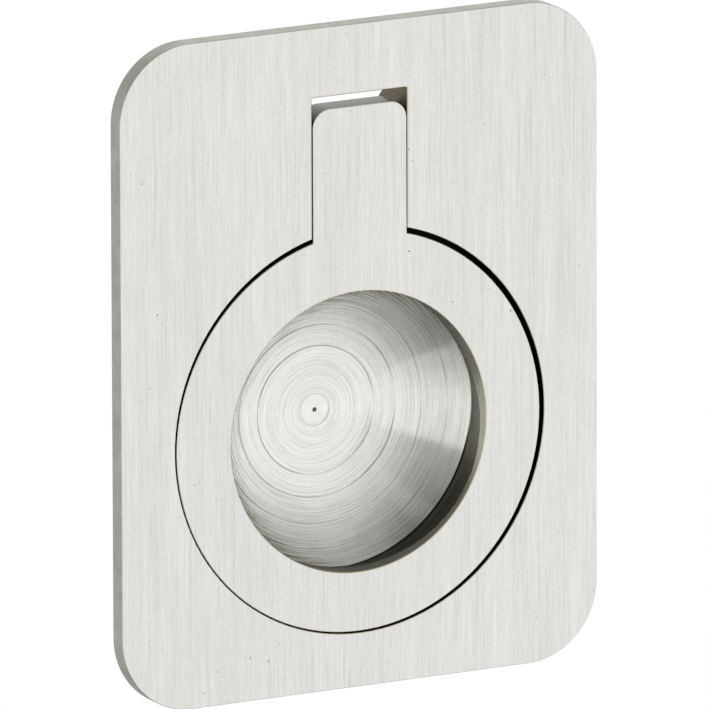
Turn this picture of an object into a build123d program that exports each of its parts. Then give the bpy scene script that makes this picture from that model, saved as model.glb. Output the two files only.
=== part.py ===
from build123d import *
from math import sqrt
import os

# Recessed ring pull for a door, drawer or hatch.
# A flat ring lies flush in a rectangular face plate. Its tab swings on a cross pin at the top of a
# keyhole-shaped recess, and a turned dish behind the ring leaves room for a fingertip.
# Millimetres. The origin is the middle of the plate's rear face, which seats on the door in the plane
# Y = 0. The front looks along -Y, the dish reaches back along +Y, and +Z is up.
# Depths are counted from the front face.

# Face plate
plate_width = 55.0
plate_height = 69.6
plate_thickness = 2.0
plate_corner = 8.0
edge_break = 0.06  # on the front edges of the plate, the recess and the ring

# Keyhole recess that the ring lies in
dish_height = -7.8  # of the axis that the recess and the dish share
recess_radius = 21.34
recess_depth = 3.0  # to the ledge behind the ring
slot_width = 11.0
slot_top = 27.55
slot_corner = 0.3

# Finger dish: a nearly flat floor and a bowl that runs on from it to a straight wall hidden by the ring
dish_depth = 10.05
dish_rim_radius = 16.1
floor_radius = 6.75
floor_crown_radius = 90.0
bowl_crown_radius = 14.0
centre_mark_radius = 0.25
centre_mark_depth = 0.35

# Casting behind the plate: a flange behind the ledge and a turned cup round the dish
cup_wall = 1.1
flange_radius = 23.4
flange_height = 2.6
flange_chamfer = 0.5

# Hinge: lugs beside the slot, the pin through them and the knuckle between them
pin_radius = 1.0
pin_height = 22.8
pin_depth = 3.0
pin_inset = 0.3  # of each end below the lug's side
pin_end_chamfer = 0.2
pin_running_clearance = 0.05
knuckle_radius = 1.8
knuckle_clearance = 0.25
lug_radius = 4.1
lug_root = 2.05
lug_bottom = 10.0
lug_edge_round = 0.5
hinge_width = 17.2

# Ring and its tab, cut from one plate. The eye hangs a little low and to the left in the recess, and
# the tab a little to the right in the slot.
ring_thickness = 2.8
ring_radius = 20.98
bore_radius = 14.72
eye_offset = -0.18
eye_sag = 0.16
tab_offset = 0.03
tab_width = 10.8
tab_top = 26.24
tab_corner = 1.9

# Countersunk screw holes in the ledge, hidden by the ring
screw_spacing = 37.4
screw_hole_radius = 1.3
screw_head_radius = 2.3
screw_head_angle = 90

# Places worked out from the sizes above
seat = Plane.XZ
front = seat.offset(plate_thickness)
side = Plane.YZ
dish_axis = Axis((0, 0, dish_height), (0, 1, 0))
dish_section = Plane.XY.offset(dish_height)
ledge = recess_depth - plate_thickness
dish_bottom = dish_depth - plate_thickness
cup_radius = dish_rim_radius + cup_wall
cup_height = dish_bottom + cup_wall
pin_line = (pin_depth - plate_thickness, pin_height)
eye_height = dish_height - eye_sag
tab_back = ring_thickness - plate_thickness
stop_top = pin_height + pin_line[0] - tab_back  # where the opened tab comes to rest
window_depth = pin_depth + lug_radius + plate_thickness


def floor_y(radius):
    """Y of the dish's floor at a radius from the dish's axis."""
    return dish_bottom - floor_crown_radius + sqrt(floor_crown_radius**2 - radius**2)


# Centre of the bowl's arc, on the line from the centre of the floor's arc to the point where they meet
bowl_share = bowl_crown_radius / floor_crown_radius
bowl_centre = floor_radius * (1 - bowl_share)
bowl_centre_y = floor_y(floor_radius) - sqrt(floor_crown_radius**2 - floor_radius**2) * bowl_share


def bowl_y(radius):
    """Y of the dish's bowl at a radius from the dish's axis."""
    return bowl_centre_y + sqrt(bowl_crown_radius**2 - (radius - bowl_centre) ** 2)


# How far a 45 degree face cuts into the cup's corner to lie cup_wall outside the dish's bowl
bowl_to_face = (bowl_crown_radius + cup_wall) * sqrt(2)
cup_chamfer = cup_radius + cup_height - bowl_centre - bowl_centre_y - bowl_to_face

# Half section of the dish, from the ledge down the wall to the bowl and the floor
bowl_middle = (floor_radius + dish_rim_radius) / 2
with BuildSketch(dish_section) as dish_half:
    with BuildLine():
        Polyline(
            (0, floor_y(0)),
            (0, ledge),
            (dish_rim_radius, ledge),
            (dish_rim_radius, bowl_y(dish_rim_radius)),
        )
        ThreePointArc(
            (dish_rim_radius, bowl_y(dish_rim_radius)),
            (bowl_middle, bowl_y(bowl_middle)),
            (floor_radius, bowl_y(floor_radius)),
        )
        ThreePointArc(
            (floor_radius, floor_y(floor_radius)),
            (floor_radius / 2, floor_y(floor_radius / 2)),
            (0, floor_y(0)),
        )
    make_face()

# Half section of the flange and the cup. The cup's end is turned down at 45 degrees, which leaves
# the same wall behind the dish's bowl as at its side and bottom.
with BuildSketch(dish_section) as cup_half:
    Rectangle(cup_radius, cup_height, align=(Align.MIN, Align.MIN))
    chamfer(cup_half.vertices().group_by(Axis.X)[-1].sort_by(Axis.Y)[-1], cup_chamfer)
    Rectangle(flange_radius, flange_height, align=(Align.MIN, Align.MIN))
    chamfer(cup_half.vertices().group_by(Axis.X)[-1].sort_by(Axis.Y)[-1], flange_chamfer)

with BuildPart() as housing:
    with BuildSketch(seat):
        RectangleRounded(plate_width, plate_height, plate_corner)
    extrude(amount=plate_thickness)
    chamfer(housing.faces().sort_by(Axis.Y)[0].edges(), edge_break)

    # Hinge block: its side is the hull of a low bar along the slot and the round lug about the pin,
    # so that it slopes from the slot's top down to the pin and runs out into the cup's flange.
    with BuildSketch(side):
        with Locations((0, slot_top)):
            Rectangle(lug_root, slot_top - lug_bottom, align=(Align.MIN, Align.MAX))
        with Locations(pin_line):
            Circle(lug_radius)
        make_hull()
        Rectangle(window_depth, plate_height, align=(Align.MIN, Align.CENTER), mode=Mode.INTERSECT)
    extrude(amount=hinge_width / 2, both=True)
    lug_sides = housing.faces().filter_by(Axis.X).filter_by_position(Axis.X, -hinge_width, hinge_width)
    fillet(lug_sides.edges().filter_by_position(Axis.Y, lug_root / 2, window_depth), lug_edge_round)

    revolve(cup_half.sketch, axis=dish_axis)

    # Keyhole recess down to the ledge
    with BuildSketch(front) as keyhole:
        with Locations((0, dish_height)):
            Circle(recess_radius)
        with Locations((0, slot_top)):
            Rectangle(slot_width, slot_top - dish_height, align=(Align.CENTER, Align.MAX))
        fillet(keyhole.vertices().group_by(Axis.Y)[-1], slot_corner)
    extrude(amount=-recess_depth, mode=Mode.SUBTRACT)
    chamfer(housing.faces().sort_by(Axis.Y)[0].inner_wires()[0].edges(), edge_break)

    # Window between the lugs, open at the back, that the tab's end swings into
    with BuildSketch(front) as window:
        with Locations((0, slot_top)):
            Rectangle(slot_width, slot_top - stop_top, align=(Align.CENTER, Align.MAX))
        fillet(window.vertices().group_by(Axis.Y)[-1], slot_corner)
    extrude(amount=-window_depth, mode=Mode.SUBTRACT)
    with BuildSketch(side):
        with Locations(pin_line):
            Circle(knuckle_radius + knuckle_clearance)
    extrude(amount=slot_width / 2, both=True, mode=Mode.SUBTRACT)

    # Pin bore through both lugs
    with BuildSketch(side):
        with Locations(pin_line):
            Circle(pin_radius)
    extrude(amount=hinge_width / 2, both=True, mode=Mode.SUBTRACT)

    # Finger dish with the centre mark left by the lathe
    revolve(dish_half.sketch, axis=dish_axis, mode=Mode.SUBTRACT)
    with BuildSketch(dish_section):
        with BuildLine():
            Polyline(
                (0, floor_y(0) + centre_mark_depth),
                (centre_mark_radius, floor_y(centre_mark_radius)),
                (centre_mark_radius, ledge),
                (0, ledge),
                close=True,
            )
        make_face()
    revolve(axis=dish_axis, mode=Mode.SUBTRACT)

    # Screw holes through the ledge
    with Locations(Plane(origin=(0, ledge, dish_height), x_dir=(1, 0, 0), z_dir=(0, -1, 0))):
        with GridLocations(screw_spacing, 0, 2, 1):
            CounterSinkHole(
                radius=screw_hole_radius,
                counter_sink_radius=screw_head_radius,
                depth=flange_height,
                counter_sink_angle=screw_head_angle,
            )

with BuildPart() as ring_pull:
    with BuildSketch(front) as ring_outline:
        with Locations((eye_offset, eye_height)):
            Circle(ring_radius)
        with Locations((tab_offset, tab_top)):
            Rectangle(tab_width, tab_top - eye_height, align=(Align.CENTER, Align.MAX))
        fillet(ring_outline.vertices().group_by(Axis.Y)[-1], tab_corner)
        with Locations((eye_offset, eye_height)):
            Circle(bore_radius, mode=Mode.SUBTRACT)
    extrude(amount=-ring_thickness)
    chamfer(ring_pull.faces().sort_by(Axis.Y)[0].edges(), edge_break)

    # Knuckle across the tab's back, drilled for the pin
    with BuildSketch(side.offset(tab_offset)):
        with Locations(pin_line):
            Circle(knuckle_radius)
    extrude(amount=tab_width / 2, both=True)
    with BuildSketch(side.offset(tab_offset)):
        with Locations(pin_line):
            Circle(pin_radius + pin_running_clearance)
    extrude(amount=tab_width / 2, both=True, mode=Mode.SUBTRACT)

with BuildPart() as hinge_pin:
    with BuildSketch(side):
        with Locations(pin_line):
            Circle(pin_radius)
    extrude(amount=hinge_width / 2 - pin_inset, both=True)
    chamfer(hinge_pin.edges().filter_by(GeomType.CIRCLE), pin_end_chamfer)

housing.part.label = "housing"
ring_pull.part.label = "ring_pull"
hinge_pin.part.label = "hinge_pin"

os.makedirs("parts", exist_ok=True)
export_step(housing.part, "parts/housing.step")
export_step(ring_pull.part, "parts/ring_pull.step")
export_step(hinge_pin.part, "parts/hinge_pin.step")
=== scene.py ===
from math import cos, radians, sin

import bmesh
import bpy
from mathutils import Matrix, Vector


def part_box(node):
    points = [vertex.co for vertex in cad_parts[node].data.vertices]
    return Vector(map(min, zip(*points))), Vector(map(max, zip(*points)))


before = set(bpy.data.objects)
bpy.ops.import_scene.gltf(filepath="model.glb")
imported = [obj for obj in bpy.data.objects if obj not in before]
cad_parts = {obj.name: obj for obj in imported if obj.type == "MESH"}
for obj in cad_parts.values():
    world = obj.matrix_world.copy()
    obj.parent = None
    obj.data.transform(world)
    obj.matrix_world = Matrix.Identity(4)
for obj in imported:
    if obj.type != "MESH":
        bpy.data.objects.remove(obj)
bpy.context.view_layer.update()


# Housing. One casting in satin nickel: the face plate, the keyhole recess, the turned finger dish and the
# hinge lugs behind the plate. The face is brushed upright, the dish keeps the fine rings of the lathe, and
# the walls of the hinge pocket stay as cast. It is let into the door and held by screws under the ring.

class Level:
    """A number that varies over the metal. Arithmetic on it adds Math nodes to its finish."""

    def __init__(self, finish, socket):
        self.finish = finish
        self.socket = socket

    def math(self, operation, *values):
        return self.finish.node("ShaderNodeMath", {"operation": operation}, values)

    def __add__(self, other):
        return self.math("ADD", self, other)

    def __sub__(self, other):
        return self.math("SUBTRACT", self, other)

    def __rsub__(self, other):
        return self.math("SUBTRACT", other, self)

    def __mul__(self, other):
        return self.math("MULTIPLY", self, other)

    def __truediv__(self, other):
        return self.math("DIVIDE", self, other)

    def __pow__(self, other):
        return self.math("POWER", self, other)

    def __abs__(self):
        return self.math("ABSOLUTE", self)

    def __lt__(self, other):
        return self.math("LESS_THAN", self, other)

    def __gt__(self, other):
        return self.math("GREATER_THAN", self, other)

    __radd__ = __add__
    __rmul__ = __mul__

    def rise(self, low, high):
        """0 below low, 1 above high and smooth between them. With low above high it falls instead."""
        return self.finish.node(
            "ShaderNodeMapRange", {"interpolation_type": "SMOOTHSTEP"}, (self, low, high, 0.0, 1.0)
        )


class Finish:
    """Nodes of one finish, on a material or the world. Its place is in millimetres on the piece itself."""

    def __init__(self, owner):
        owner.use_nodes = True
        self.owner = owner
        self.tree = owner.node_tree
        self.tree.nodes.clear()

    def node(self, kind, settings=None, values=(), output=0):
        made = self.tree.nodes.new(kind)
        for name, setting in (settings or {}).items():
            setattr(made, name, setting)
        for key, value in values.items() if isinstance(values, dict) else enumerate(values):
            if isinstance(value, Level):
                self.tree.links.new(value.socket, made.inputs[key])
            else:
                made.inputs[key].default_value = value
        return Level(self, made.outputs[output]) if made.outputs else None

    def place(self):
        metres = self.node("ShaderNodeTexCoord", output="Object")
        scaled = {0: metres, "Scale": 1000.0}
        millimetres = self.node("ShaderNodeVectorMath", {"operation": "SCALE"}, scaled)
        return [self.node("ShaderNodeSeparateXYZ", values=(millimetres,), output=axis) for axis in "XYZ"]

    def grain(self, x, y, z, size=1.0, detail=2.0, harshness=0.5):
        """Noise from 0 to 1 about 0.5, whose spots are about one size across."""
        where = self.node("ShaderNodeCombineXYZ", values=(x, y, z))
        values = {"Vector": where, "Scale": 1 / size, "Detail": detail, "Roughness": harshness}
        return self.node("ShaderNodeTexNoise", values=values)

    def mix(self, share, first, second):
        """The first colour where share is 0 and the second where it is 1."""
        return self.node("ShaderNodeMix", {"data_type": "RGBA"}, {0: share, 6: first, 7: second}, output=2)

    def shade(self, colour, level):
        """A colour made darker or lighter by a level about 1."""
        grey = self.node("ShaderNodeCombineColor", values=(level, level, level))
        values = {0: 1.0, 6: colour, 7: grey}
        return self.node("ShaderNodeMix", {"data_type": "RGBA", "blend_type": "MULTIPLY"}, values, output=2)

    def bump(self, height):
        """The surface raised by a height in millimetres."""
        return self.node("ShaderNodeBump", values={"Height": height, "Distance": 0.001})

    def metal(self, colour, roughness, normal):
        values = {"Base Color": colour, "Metallic": 1.0, "Roughness": roughness, "Normal": normal}
        shader = self.node("ShaderNodeBsdfPrincipled", values=values)
        self.node("ShaderNodeOutputMaterial", values={"Surface": shader})


def apply(piece, finish):
    for slot in piece.material_slots:
        slot.material = finish.owner


def reach(across, up):
    """Distance from an axis, from the offsets across it and up from it."""
    return (across * across + up * up) ** 0.5


def corners(node):
    """Lowest and highest corner of a CAD node, in millimetres."""
    return [corner * 1000.0 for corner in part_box(node)]


slack = 0.02  # how far a mask reaches past the surfaces that it takes in
skin = 0.01  # depth of the face's own finish

lowest, highest = corners("housing")
plate_front = lowest.y
cup_end = highest.y
plate_half_width = highest.x
plate_half_height = highest.z
plate_corner = 8.0
side_skin = 0.2
edge_break = 0.07
rear_edge = -0.12
worn_line = 0.14  # width of the worn line on the face along an edge
dish_height = -7.8
dish_radius = 16.1
rim_shade_radius = 15.8  # beyond it the dish is painted dark, as shade behind the ring
rim_shadow_fade = 5.0
ledge = 1.0
ledge_radius = 22.0
recess_radius = 21.0
corner_shade_radius = 20.9  # from here out the ledge is painted dark, as shade in the corner by the recess wall
corner_shade_fade = 0.6
slot_half_width = 5.5
slot_top = 27.55
window_bottom = 23.0
pin_depth = 1.0
pin_height = 22.8
knuckle_reach = 2.08
cup_outline = 20.0  # outside the cup, and only there, radius and y add up to more
cup_end_skin = 0.7
centre_mark_radius = 0.25
faced_radius = 1.67
turned_marks = {faced_radius: 0.7, 6.75: 1.0, 9.05: 1.0, 11.6: 0.6, 13.9: 0.6}  # radius and strength
mark_edges = (0.10, 0.02)  # half width of a groove at its lip and at its bottom

cast_roughness = 0.45
brushed_roughness = 0.33
turned_roughness = 0.14

nickel = (0.91, 0.913, 0.885, 1.0)
turned_nickel = (0.905, 0.913, 0.88, 1.0)
faced_nickel = (0.98, 0.985, 0.965, 1.0)
side_nickel = (0.72, 0.728, 0.675, 1.0)
worn_edge = (0.80, 0.67, 0.42, 1.0)
pit_brown = (0.30, 0.24, 0.15, 1.0)
mark_grey = (0.50, 0.48, 0.43, 1.0)
cast_brown = (0.34, 0.30, 0.235, 1.0)
ledge_brown = (0.25, 0.235, 0.20, 1.0)
# Painted shade: the dark of the dish behind the ring
rim_shade_brown = (0.13, 0.122, 0.104, 1.0)
# Painted shade: near black for the shaded rim line, the recess wall and the ledge's corner
painted_shade_black = (0.012, 0.011, 0.009, 1.0)
cast_back = (0.52, 0.52, 0.49, 1.0)


def brushed_face(finish, x, y, z):
    """Colour and height of a face brushed upright, in long streaks of four widths, with a few pits."""
    broadest = finish.grain(x, y, z * 0.05, size=2.5, detail=1.0) - 0.5
    broad = finish.grain(x + 40, y, z * 0.03, size=0.7, detail=1.0) - 0.5
    middle = finish.grain(x + 80, y, z * 0.02, size=0.25, detail=1.0) - 0.5
    fine = finish.grain(x + 120, y, z * 0.015, size=0.09, detail=1.0, harshness=0.7) - 0.5
    satin = finish.grain(x, y, z * 0.4, size=0.16, detail=2.0, harshness=0.7) - 0.5
    scratch = finish.grain(x + 160, y, z * 0.01, size=0.14, detail=0.0).rise(0.68, 0.80)
    tone = broadest * 0.10 + broad * 0.11 + middle * 0.14 + fine * 0.33 + satin * 0.24 - scratch * 0.10
    pitted_places = finish.grain(x, y, z, size=9.0, detail=0.0).rise(0.60, 0.61)
    pits = finish.grain(x, y, z, size=0.42, detail=0.0).rise(0.845, 0.865) * pitted_places
    colour = finish.mix(pits, finish.shade(nickel, 1.0 + tone), pit_brown)
    height = broad * 0.006 + middle * 0.005 + fine * 0.004 + satin * 0.002 - pits * 0.02
    return colour, height


housing_finish = Finish(bpy.data.materials.new("satin_nickel_housing"))
x, y, z = housing_finish.place()
radius = reach(x, z - dish_height)
face = y < plate_front + skin
edge = y < plate_front + edge_break
in_dish = (radius < dish_radius + slack) * (y > ledge - slack)

across = abs(x) - (plate_half_width - plate_corner)
upright = abs(z) - (plate_half_height - plate_corner)
inner = across.math("MAXIMUM", across, upright)
round_corner = reach(across.math("MAXIMUM", across, 0.0), upright.math("MAXIMUM", upright, 0.0))
outline = round_corner + inner.math("MINIMUM", inner, 0.0)
plate_side = (outline > plate_corner - side_skin) * (y < skin)

face_colour, face_height = brushed_face(housing_finish, x, y, z)

# Rings of the turning tool, which fade in and out along the dish, and a few grooves it cut deeper
rings_broad = housing_finish.grain(radius, x * 0.008, z * 0.008, size=0.7, detail=1.0) - 0.5
rings = housing_finish.grain(radius + 20, x * 0.012, z * 0.012, size=0.22, detail=1.0) - 0.5
fine_place = (radius + 40, x * 0.012, z * 0.012)
rings_fine = housing_finish.grain(*fine_place, size=0.08, detail=1.0, harshness=0.7) - 0.5
scuffs = housing_finish.grain(x, y, z, size=0.2, detail=2.0, harshness=0.7) - 0.5
clouds = housing_finish.grain(x, y, z, size=1.1, detail=3.0, harshness=0.6) - 0.5
marks = 0.0
for mark_radius, strength in turned_marks.items():
    marks = abs(radius - mark_radius).rise(*mark_edges) * strength + marks
marks = marks * (0.4 + housing_finish.grain(x, 0.0, z, size=6.0, detail=0.0).rise(0.30, 0.55) * 0.6)
tone = rings_broad * 0.06 + rings * 0.20 + rings_fine * 0.7 + scuffs * 0.26 + clouds * 0.16 - marks * 0.38
turned = housing_finish.mix((radius - faced_radius).rise(0.05, -0.05), turned_nickel, faced_nickel)
dish_colour = housing_finish.shade(turned, 1.0 + tone)
dish_colour = housing_finish.mix(radius < centre_mark_radius, dish_colour, mark_grey)
# Painted shade: beyond the rim radius the dish, hidden behind the ring, is coloured dark as if shaded by it
dish_colour = housing_finish.mix((radius - rim_shade_radius).rise(-0.05, 0.05), dish_colour, rim_shade_brown)
# Painted shadow: a black line round the rim, on the lower half of the dish only
rim_shadow_line = abs(radius - rim_shade_radius).rise(0.10, 0.04) * z.rise(dish_height, dish_height - rim_shadow_fade)
dish_colour = housing_finish.mix(rim_shadow_line, dish_colour, painted_shade_black)
rings_height = rings_broad * 0.016 + rings * 0.015 + rings_fine * 0.018 - marks * 0.012

speckle = housing_finish.grain(x, y, z, size=0.25, detail=4.0, harshness=0.7)
mottle = housing_finish.grain(x, y, z, size=1.5, detail=1.0)
side_colour = housing_finish.shade(side_nickel, 0.75 + speckle * 0.2 + mottle * 0.35)
side_colour = housing_finish.mix((y > rear_edge) * 0.6, side_colour, worn_edge)
pocket_colour = housing_finish.shade(cast_brown, speckle * 2 - 0.1)

# The hinge pocket: the slot and its floor, the window at its top and the hollow round the knuckle
knuckle_hollow = reach(y - pin_depth, z - pin_height) < knuckle_reach
pocket_depth = (y < ledge + slack) + (z > window_bottom - slack) + knuckle_hollow > 0.5
slot_height = (z > dish_height + recess_radius) * (z < slot_top + slack)
in_slot = (abs(x) < slot_half_width + slack) * slot_height
in_recess = (radius < ledge_radius) * (y < ledge + slack)

# Outside of the cup, which is turned down with the dish
cup_outside = (radius + y > cup_outline) + (y > cup_end - cup_end_skin) > 0.5
dish_colour = housing_finish.mix(cup_outside, dish_colour, housing_finish.shade(cast_back, 1.0 + tone))

back_colour = housing_finish.shade(cast_back, 0.85 + speckle * 0.3)
colour = housing_finish.mix(in_slot * pocket_depth, back_colour, pocket_colour)
ledge_colour = housing_finish.shade(ledge_brown, 0.6 + speckle * 0.8)
# Painted shade: the recess wall and the ledge's outer corner are near black, as shade in the gap round the
# ring
unshaded_ledge_share = (y > ledge - slack) * radius.rise(corner_shade_radius, corner_shade_radius - corner_shade_fade)
recess_colour_and_shade = housing_finish.mix(unshaded_ledge_share, painted_shade_black, ledge_colour)
colour = housing_finish.mix(in_recess, colour, recess_colour_and_shade)
colour = housing_finish.mix(in_dish, colour, dish_colour)
colour = housing_finish.mix(plate_side, colour, side_colour)
colour = housing_finish.mix(edge * (1.0 - plate_side), colour, worn_edge)

# A worn line on the face along the slot
slot_edge_height = (z > dish_height + recess_radius) * (z < slot_top + worn_line)
slot_edge = (abs(x) < slot_half_width + worn_line) * slot_edge_height
face_colour = housing_finish.mix(slot_edge * 0.6, face_colour, worn_edge)
colour = housing_finish.mix(face, colour, face_colour)

cast = (1.0 - face) * (1.0 - in_dish)
height = face * face_height + in_dish * rings_height + cast * (speckle - 0.5) * 0.01
smoothed = face * (cast_roughness - brushed_roughness) + in_dish * (cast_roughness - turned_roughness)
roughness = cast_roughness - smoothed + (speckle - 0.5) * 0.05
housing_finish.metal(colour, roughness, housing_finish.bump(height))
apply(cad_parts["housing"], housing_finish)


# Ring pull. The flat ring and its tab are cut from one plate of the same metal, with a knuckle behind the
# tab's end, and are brushed upright with the face. The bore is punched: a bright sheared band behind the
# front edge, then a rough dark band down to the back.

ring_height = -7.96
ring_offset = -0.18
bore_radius = 14.72
bore_skin = 0.2
tab_top = corners("ring_pull")[1].z
tab_corner = 1.9
ring_thickness = 2.8
sheared_middle = 1.75
sheared_swing = 1.0
sheared_turn = radians(32)
worn_depth = 0.12
tab_end_shade_fade = 0.5
sheared_tone = 0.36
# Painted light: these values brighten the bore by the way each part of it faces
sheared_side_sheen = 0.62
sheared_end_sheen = 0.2
torn_tone = 0.40
torn_upper_sheen = 0.95

sheared_nickel = (0.85, 0.84, 0.77, 1.0)
torn_brown = (0.28, 0.265, 0.225, 1.0)
# Painted shade: near black brown for the ring's walls outside the bore, as shade in the gap round it
outer_wall_shade_brown = (0.09, 0.083, 0.07, 1.0)

ring_finish = Finish(bpy.data.materials.new("satin_nickel_ring"))
x, y, z = ring_finish.place()
ring_x = x - ring_offset
ring_z = z - ring_height
radius = reach(ring_x, ring_z)
angle = ring_z.math("ARCTAN2", ring_z, ring_x)
along = angle * bore_radius
depth = y - plate_front
face = y < plate_front + skin
edge = y < plate_front + edge_break
bore = radius < bore_radius + bore_skin

face_colour, face_height = brushed_face(ring_finish, x, y, z)

jag = ring_finish.grain(along, depth * 0.2, 0.0, size=0.5, detail=3.0, harshness=0.7)
streak = ring_finish.grain(along * 0.06, depth, 0.0, size=0.15, detail=3.0, harshness=0.7)
swing = (angle + sheared_turn) * 2
sheared_depth = sheared_middle - sheared_swing * swing.math("COSINE", swing) + (jag - 0.5) * 0.5
sheared = (sheared_depth - depth).rise(-0.05, 0.05)
speckle = ring_finish.grain(x, y, z, size=0.2, detail=4.0, harshness=0.7)

# Painted light: the bore is coloured brightest at its two sides and dull at its top and bottom, and its
# torn band lighter in its upper half, as light falls on it
sides = (angle + 0.1) * 2
side_sheen_share = sides.math("COSINE", sides).rise(0.6, 1.0)
end_sheen_share = angle.rise(0.0, 0.4) + angle.rise(-0.1, -0.5) * angle.rise(-1.5, -1.0)
bore_sheen = sheared_tone + side_sheen_share * sheared_side_sheen + end_sheen_share * sheared_end_sheen
torn_sheen = torn_tone + angle.rise(-0.6, 0.0) * torn_upper_sheen
bore_colour = ring_finish.mix(
    sheared,
    ring_finish.shade(torn_brown, torn_sheen * (0.4 + speckle * 1.2)),
    ring_finish.shade(sheared_nickel, bore_sheen * (0.4 + streak * 1.2)),
)
# Painted shade: the tab's end is dark at its foot and fades up into the side colour near its top
tab_end_unshaded = z.rise(tab_top - tab_corner, tab_top - tab_end_shade_fade)

colour = ring_finish.mix(bore, outer_wall_shade_brown, bore_colour)
colour = ring_finish.mix(tab_end_unshaded, colour, ring_finish.shade(side_nickel, 0.48 + speckle * 0.5))
back_colour = ring_finish.shade(cast_back, 0.85 + speckle * 0.3)
colour = ring_finish.mix(depth > ring_thickness - slack, colour, back_colour)
colour = ring_finish.mix(edge, colour, nickel)
colour = ring_finish.mix(bore * (y < plate_front + worn_depth), colour, worn_edge)
face_colour = ring_finish.mix((radius < bore_radius + worn_line) * 0.5, face_colour, worn_edge)
colour = ring_finish.mix(face, colour, face_colour)
punched_height = (speckle - 0.5) * 0.01 + bore * sheared * (streak - 0.5) * 0.02
height = face * face_height + (1.0 - face) * punched_height
roughness = cast_roughness - face * (cast_roughness - brushed_roughness)
ring_finish.metal(colour, roughness, ring_finish.bump(height))
apply(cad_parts["ring_pull"], ring_finish)


# Hinge pin. Drawn steel rod, cut to length and chamfered at both ends. It is pressed into the two lugs
# behind the plate, and the ring's knuckle turns on it. Only its two ends show, in the sides of the lugs.

pin_steel = (0.56, 0.56, 0.55, 1.0)

pin_finish = Finish(bpy.data.materials.new("drawn_steel_pin"))
x, y, z = pin_finish.place()
drawn = pin_finish.grain(x * 0.05, y, z, size=0.15, detail=3.0, harshness=0.6)
pin_colour = pin_finish.shade(pin_steel, 0.85 + drawn * 0.3)
pin_finish.metal(pin_colour, 0.25 + drawn * 0.15, pin_finish.bump((drawn - 0.5) * 0.006))
apply(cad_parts["hinge_pin"], pin_finish)


# Studio. A pale floor well below the plate, a surround that is white to the eye and grey in the metal, and
# the camera where the photograph was taken from.

floor_height = -0.075
floor_size = 3.0

floor_shape = bmesh.new()
bmesh.ops.create_grid(floor_shape, x_segments=1, y_segments=1, size=floor_size)
bmesh.ops.translate(floor_shape, verts=floor_shape.verts, vec=(0.0, 0.0, floor_height))
floor_mesh = bpy.data.meshes.new("floor")
floor_shape.to_mesh(floor_mesh)
floor_shape.free()
floor = bpy.data.objects.new("floor", floor_mesh)
bpy.context.scene.collection.objects.link(floor)
floor.visible_glossy = False

paper = Finish(bpy.data.materials.new("pale_paper"))
matt = paper.node("ShaderNodeBsdfDiffuse", values={"Color": (0.8, 0.8, 0.8, 1.0)})
glow = paper.node("ShaderNodeEmission", values={"Color": (1.0, 1.0, 1.0, 1.0), "Strength": 0.22})
seen = paper.node("ShaderNodeLightPath", output="Is Camera Ray")
lit = paper.node("ShaderNodeAddShader", values=(matt, glow))
sheet = paper.node("ShaderNodeMixShader", values=(seen, matt, lit))
paper.node("ShaderNodeOutputMaterial", values={"Surface": sheet})
floor_mesh.materials.append(paper.owner)

# Tones of the surround that the metal reflects: a soft belt of light round it, brightest on the right. On
# the left is a long box of light with straight edges that run towards the right, and above it a dimmer
# strip. The darker a part is, the warmer it is. Each straight edge has its slope, and its height in front.
belt_tone = 0.785
belt_height = -0.265
belt_up = 2.36
belt_down = 2.14
belt_spread = -0.495
room_shade = 0.127
left_shade = 0.153
below_shade = 0.168
above_box_shade = 0.05
right_tone = 0.246
behind_share = 0.07
box_tone = 0.28
box_low_shade = 0.46
strip_tone = 0.07
box_bottom = (0.44, -0.436)
box_top = (-0.339, -0.081)
strip_bottom = (-0.934, 0.189)
strip_top = (-1.235, 0.327)
edge_blur = 0.005
dark_blue = 0.90

world = bpy.data.worlds.new("studio")
bpy.context.scene.world = world
studio = Finish(world)
direction = studio.node("ShaderNodeTexCoord", output="Generated")
x, y, z = [studio.node("ShaderNodeSeparateXYZ", values=(direction,), output=axis) for axis in "XYZ"]


def above(line):
    """1 above a straight edge in the surround and 0 below it."""
    slope, height = line
    return (z - x * slope - height).rise(-edge_blur, edge_blur)


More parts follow.
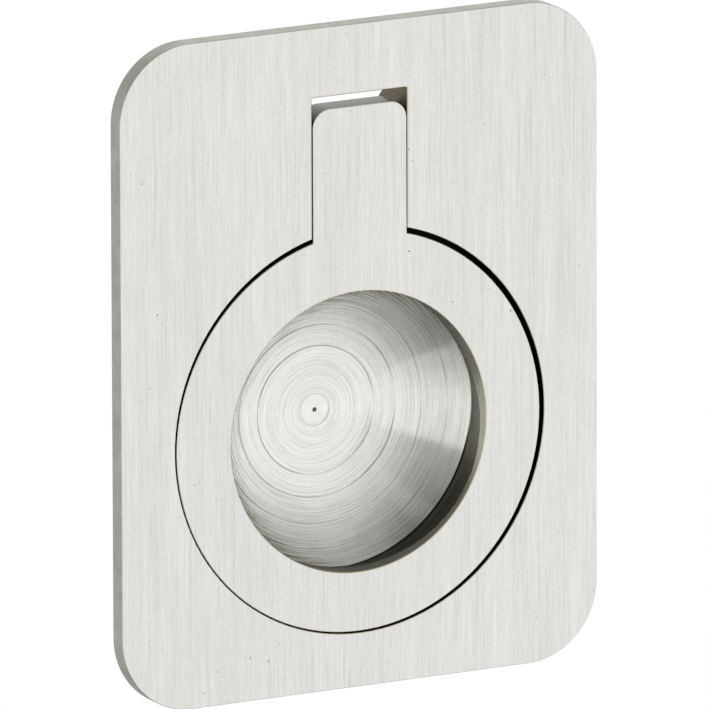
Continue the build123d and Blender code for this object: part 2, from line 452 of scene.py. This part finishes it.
in_front = y.rise(0.5, 0.1)
width = 1.0 + x.math("MAXIMUM", x, 0.0) * belt_spread
from_belt = (z - belt_height) / width
behind = 1.0 - y.rise(0.3, 0.8) * behind_share
belt = from_belt.rise(belt_up, 0.0) * from_belt.rise(-belt_down, 0.0) * behind
above_top = above(box_top)
box_fade = x.rise(0.6, -0.3) * (1.0 - z.rise(-0.25, -0.55) * box_low_shade)
box = above(box_bottom) * (1.0 - above_top) * in_front * box_fade * box_tone
strip = above(strip_bottom) * (1.0 - above(strip_top)) * in_front * x.rise(0.05, -0.1) * strip_tone
left = x.rise(0.0, -0.5)
above_box = above_top * in_front * x.rise(0.05, -0.15)
below = z.rise(-0.2, -0.8) * (1.0 - x.rise(0.0, 0.4) * 0.25)
shade = room_shade + left * left_shade + below * below_shade + above_box * above_box_shade
level = belt * belt_tone + x.rise(-0.1, 0.5) * right_tone - shade + box + strip
blue = level * (level * (1.0 - dark_blue) + dark_blue)
tone = studio.node("ShaderNodeCombineColor", values=(level, level, blue))
metal_sees = studio.node("ShaderNodeBackground", values={"Color": tone, "Strength": 1.0})
white = studio.node("ShaderNodeBackground", values={"Color": (1.0, 1.0, 1.0, 1.0), "Strength": 1.0})
mirrored = studio.node("ShaderNodeLightPath", output="Is Glossy Ray")
surround = studio.node("ShaderNodeMixShader", values=(mirrored, white, metal_sees))
studio.node("ShaderNodeOutputWorld", values={"Surface": surround})

camera_turn = radians(27.97)
camera_rise = radians(13.64)
camera_roll = radians(-0.17)
camera_distance = 2.241
camera_lens = 1115.2
look_at = Vector((0.0, -0.002, 0.0))
aim_left = 0.000592  # metres that the camera stands to the left of the line to look_at
aim_up = 0.000133

ahead = Vector((sin(camera_turn), cos(camera_turn), 0.0))
forward = cos(camera_rise) * ahead + Vector((0.0, 0.0, -sin(camera_rise)))
level_right = Vector((cos(camera_turn), -sin(camera_turn), 0.0))
level_up = level_right.cross(forward)
right = cos(camera_roll) * level_right + sin(camera_roll) * level_up
up = cos(camera_roll) * level_up - sin(camera_roll) * level_right

camera_data = bpy.data.cameras.new("camera")
camera_data.lens = camera_lens
camera_data.clip_end = 20.0
camera = bpy.data.objects.new("camera", camera_data)
bpy.context.scene.collection.objects.link(camera)
stand = look_at - camera_distance * forward - aim_left * right + aim_up * up
turned = Matrix((right, up, -forward)).transposed().to_4x4()
camera.matrix_world = Matrix.Translation(stand) @ turned
bpy.context.scene.camera = camera
bpy.context.scene.view_settings.view_transform = "Standard"
